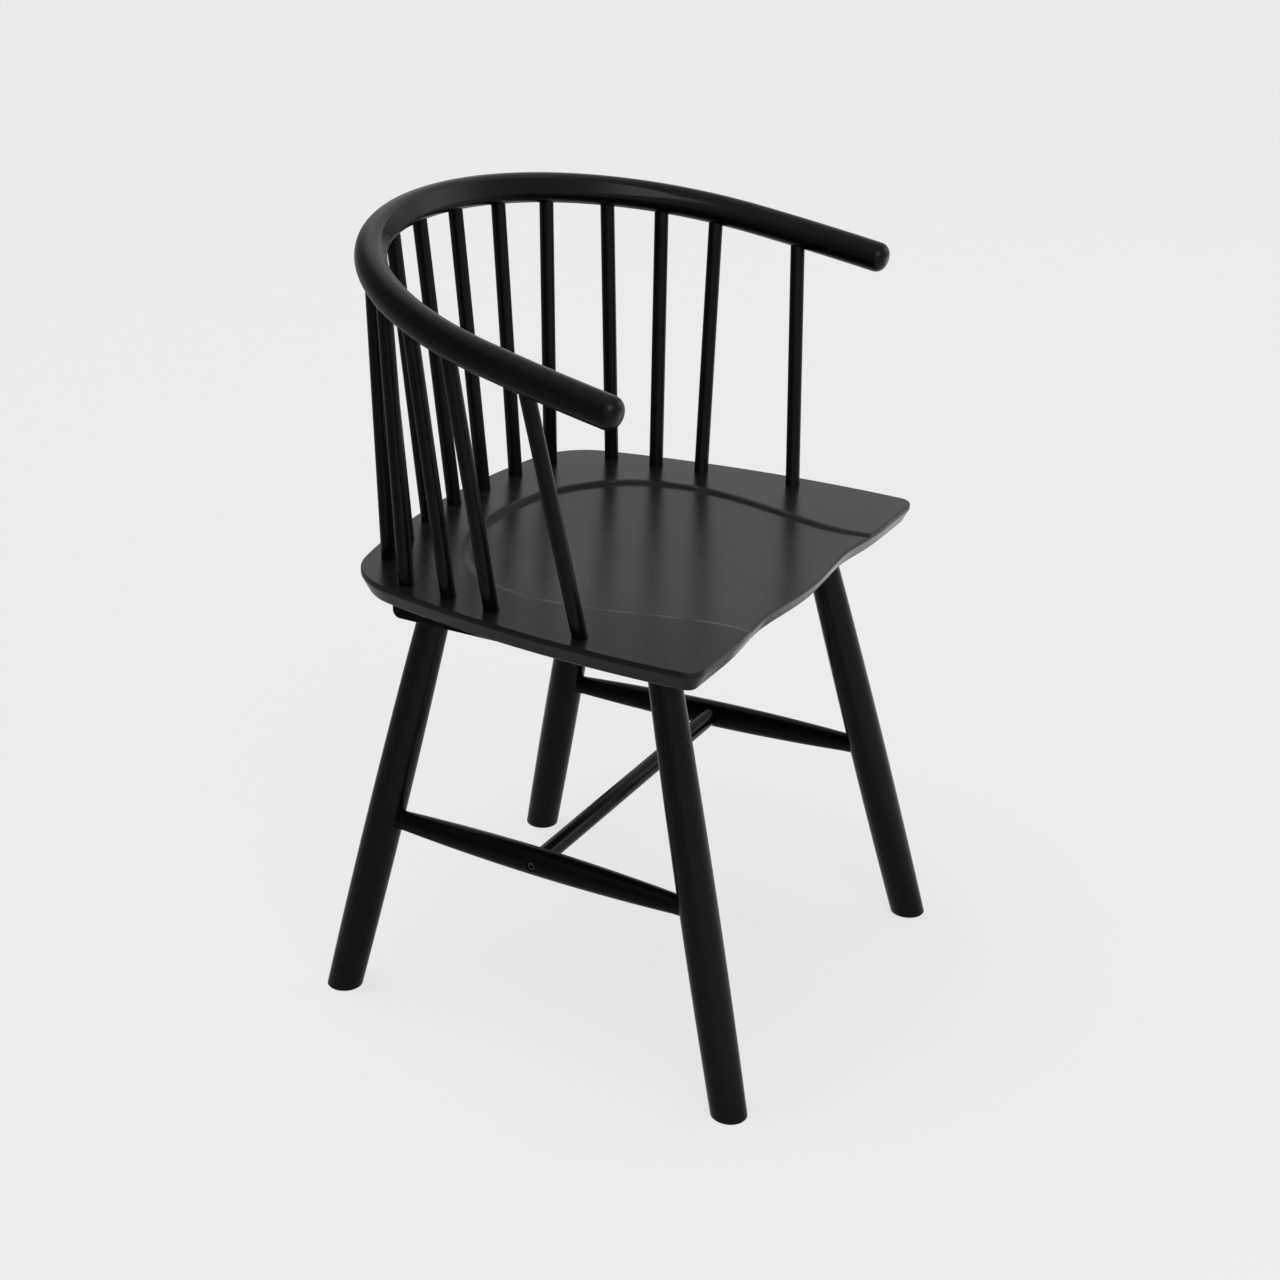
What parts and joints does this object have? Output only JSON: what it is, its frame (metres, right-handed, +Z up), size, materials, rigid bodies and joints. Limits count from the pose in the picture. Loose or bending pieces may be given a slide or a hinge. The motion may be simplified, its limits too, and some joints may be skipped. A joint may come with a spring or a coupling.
{
  "type": "spindle armchair",
  "caption": "Black lacquered wooden armchair: a low bent bow rail makes back and arms, on straight spindles above a scooped seat with splayed legs and stretchers.",
  "frame": {"origin": "on the floor, under the middle of the whole chair's bounding box", "axes": "+Z up, the chair faces -Y, +X to the right of someone who faces the chair"},
  "size_m": [0.5824, 0.4885, 0.7444],
  "materials": {
    "seat_lacquer": "satin black lacquer over fine grain",
    "bow_lacquer": "satin black lacquer",
    "spindle_lacquer": "satin black lacquer",
    "leg_lacquer": "satin black lacquer",
    "bolt_steel": "black oxide",
    "insert_steel": "zinc plated"
  },
  "bodies": {
    "root": {"seat": "seat_lacquer", "bow": "bow_lacquer", "left_batten": "leg_lacquer", "right_batten": "leg_lacquer", "front_left_leg": "leg_lacquer", "front_right_leg": "leg_lacquer", "rear_left_leg": "leg_lacquer", "rear_right_leg": "leg_lacquer", "left_side_stretcher": "leg_lacquer", "right_side_stretcher": "leg_lacquer", "cross_stretcher": "leg_lacquer", "spindle_01": "spindle_lacquer", "spindle_02": "spindle_lacquer", "spindle_03": "spindle_lacquer", "spindle_04": "spindle_lacquer", "spindle_05": "spindle_lacquer", "spindle_06": "spindle_lacquer", "spindle_07": "spindle_lacquer", "spindle_08": "spindle_lacquer", "spindle_09": "spindle_lacquer", "spindle_10": "spindle_lacquer", "spindle_11": "spindle_lacquer", "spindle_12": "spindle_lacquer", "spindle_13": "spindle_lacquer", "spindle_14": "spindle_lacquer", "spindle_15": "spindle_lacquer", "seat_bolts": "bolt_steel", "stretcher_bolts": "bolt_steel", "seat_inserts": "insert_steel", "stretcher_inserts": "insert_steel"}
  },
  "joints": []
}
